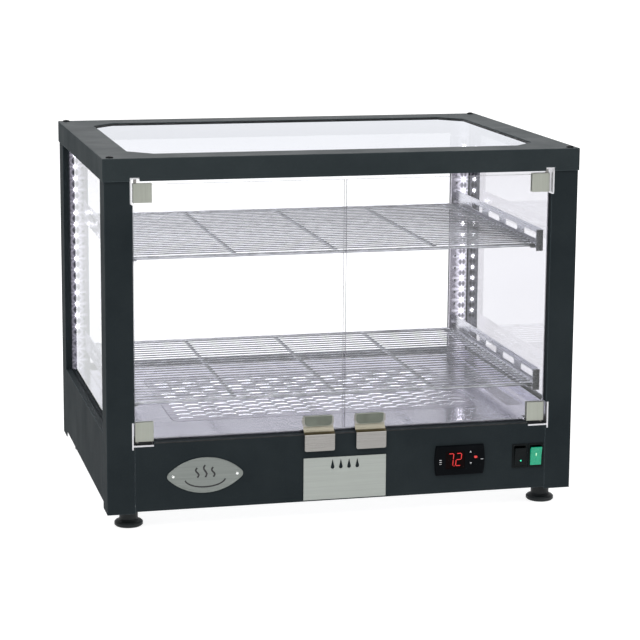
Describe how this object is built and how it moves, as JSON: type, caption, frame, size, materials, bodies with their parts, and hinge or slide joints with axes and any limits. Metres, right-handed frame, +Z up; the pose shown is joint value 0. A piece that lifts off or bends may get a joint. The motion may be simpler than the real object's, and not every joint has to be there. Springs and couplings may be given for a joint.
{
  "type": "heated food display case",
  "caption": "Counter-top heated display case with glass walls, hinged glass doors, wire shelves, water drawer and control panel.",
  "frame": {"origin": "centre of the footprint on the plane the feet stand on", "axes": "+Z up, +X to the right seen from the front, +Y from the front to the back"},
  "size_m": [0.78, 0.5648, 0.6],
  "materials": {
    "frame_paint": "satin anthracite powder coat with a fine texture",
    "clear_glass": "clear toughened glass with ground edges",
    "seal_rubber": "matt black strip",
    "stainless": "fine-brushed stainless sheet",
    "satin_steel": "satin stainless fittings",
    "chrome_wire": "bright plated wire",
    "galvanised": "dull galvanised sheet",
    "heater_steel": "heat-tinted tube",
    "lamp_white": "white circuit strip with pale lamps",
    "gloss_black": "polished black moulding",
    "display_window": "dark red filter window with lit digits",
    "key_plastic": "black caps with pale symbols",
    "black_plastic": "matt black moulding",
    "green_lens": "lit green translucent rocker",
    "ivory_plastic": "ivory moulding",
    "badge_plate": "brushed oval plate with a dark raised pattern",
    "foot_plastic": "matt black moulding"
  },
  "bodies": {
    "cabinet": {"post_front_left": "frame_paint", "post_front_right": "frame_paint", "post_rear_left": "frame_paint", "post_rear_right": "frame_paint", "top_frame": "frame_paint", "top_screws": "frame_paint", "top_glass": "clear_glass", "top_gasket": "seal_rubber", "left_glass": "clear_glass", "right_glass": "clear_glass", "rear_glass": "clear_glass", "front_fascia": "frame_paint", "left_panel": "frame_paint", "right_panel": "frame_paint", "rear_panel": "frame_paint", "bottom_pan": "galvanised", "deck": "stainless", "tub_runners": "galvanised", "left_upright": "stainless", "right_upright": "stainless", "led_strips": "lamp_white", "lower_racks": "stainless", "upper_racks": "stainless", "hinge_brackets": "satin_steel", "hinge_pins": "satin_steel", "heaters": "heater_steel", "fan_frame": "black_plastic", "controller_bezel": "gloss_black", "controller_display": "display_window", "controller_body": "black_plastic", "lamp_switch_housing": "black_plastic", "power_switch_housing": "black_plastic", "badge": "badge_plate", "badge_rivets": "badge_plate", "temperature_probe": "heater_steel", "safety_thermostat": "ivory_plastic", "terminal_block": "ivory_plastic", "lamp_driver": "galvanised", "cable_gland": "black_plastic"},
    "left_door": {"left_door_glass": "clear_glass", "left_door_clamps": "satin_steel", "left_door_pull": "satin_steel"},
    "right_door": {"right_door_glass": "clear_glass", "right_door_clamps": "satin_steel", "right_door_pull": "satin_steel"},
    "drawer": {"water_tub": "stainless", "drawer_front": "stainless"},
    "lower_shelf_body": {"lower_shelf": "chrome_wire"},
    "upper_shelf_body": {"upper_shelf": "chrome_wire"},
    "deck_plate_body": {"deck_plate": "stainless"},
    "lamp_rocker": {"lamp_switch_rocker": "black_plastic"},
    "power_rocker": {"power_switch_rocker": "green_lens"},
    "key_up_cap": {"key_up": "key_plastic"},
    "key_set_cap": {"key_set": "key_plastic"},
    "key_down_cap": {"key_down": "key_plastic"},
    "fan": {"fan_rotor": "black_plastic"},
    "foot_front_left_body": {"foot_front_left": "foot_plastic"},
    "foot_front_right_body": {"foot_front_right": "foot_plastic"},
    "foot_rear_left_body": {"foot_rear_left": "foot_plastic"},
    "foot_rear_right_body": {"foot_rear_right": "foot_plastic"}
  },
  "joints": [
    {"name": "left_door_swing", "type": "hinge", "parent": "cabinet", "child": "left_door", "pos_m": [-0.338, -0.26525, 0.35], "axis": [0, 0, -1], "range_deg": [0, 95]},
    {"name": "right_door_swing", "type": "hinge", "parent": "cabinet", "child": "right_door", "pos_m": [0.338, -0.26525, 0.35], "axis": [0, 0, 1], "range_deg": [0, 95]},
    {"name": "drawer_slide", "type": "slide", "parent": "cabinet", "child": "drawer", "axis": [0, -1, 0], "range_m": [0, 0.24]},
    {"name": "lower_shelf_lift", "type": "slide", "parent": "cabinet", "child": "lower_shelf_body", "axis": [0, 0, 1], "range_m": [0, 0.02]},
    {"name": "upper_shelf_lift", "type": "slide", "parent": "cabinet", "child": "upper_shelf_body", "axis": [0, 0, 1], "range_m": [0, 0.02]},
    {"name": "deck_plate_lift", "type": "slide", "parent": "cabinet", "child": "deck_plate_body", "axis": [0, 0, 1], "range_m": [0, 0.025]},
    {"name": "lamp_switch_rock", "type": "hinge", "parent": "cabinet", "child": "lamp_rocker", "pos_m": [0.2992, -0.27225, 0.0865], "axis": [-1, 0, 0], "range_deg": [0, 16]},
    {"name": "power_switch_rock", "type": "hinge", "parent": "cabinet", "child": "power_rocker", "pos_m": [0.3269, -0.27225, 0.0865], "axis": [-1, 0, 0], "range_deg": [0, 16]},
    {"name": "key_up_press", "type": "slide", "parent": "cabinet", "child": "key_up_cap", "axis": [0, 1, 0], "range_m": [0, 0.0008], "stiffness_N_per_m": 600},
    {"name": "key_set_press", "type": "slide", "parent": "cabinet", "child": "key_set_cap", "axis": [0, 1, 0], "range_m": [0, 0.0008], "stiffness_N_per_m": 600},
    {"name": "key_down_press", "type": "slide", "parent": "cabinet", "child": "key_down_cap", "axis": [0, 1, 0], "range_m": [0, 0.0008], "stiffness_N_per_m": 600},
    {"name": "fan_spin", "type": "hinge", "parent": "cabinet", "child": "fan", "pos_m": [0, 0.069, 0.086], "axis": [0, 1, 0], "continuous": true},
    {"name": "foot_front_left_screw", "type": "slide", "parent": "cabinet", "child": "foot_front_left_body", "axis": [0, 0, -1], "range_m": [0, 0.012]},
    {"name": "foot_front_right_screw", "type": "slide", "parent": "cabinet", "child": "foot_front_right_body", "axis": [0, 0, -1], "range_m": [0, 0.012]},
    {"name": "foot_rear_left_screw", "type": "slide", "parent": "cabinet", "child": "foot_rear_left_body", "axis": [0, 0, -1], "range_m": [0, 0.012]},
    {"name": "foot_rear_right_screw", "type": "slide", "parent": "cabinet", "child": "foot_rear_right_body", "axis": [0, 0, -1], "range_m": [0, 0.012]}
  ]
}
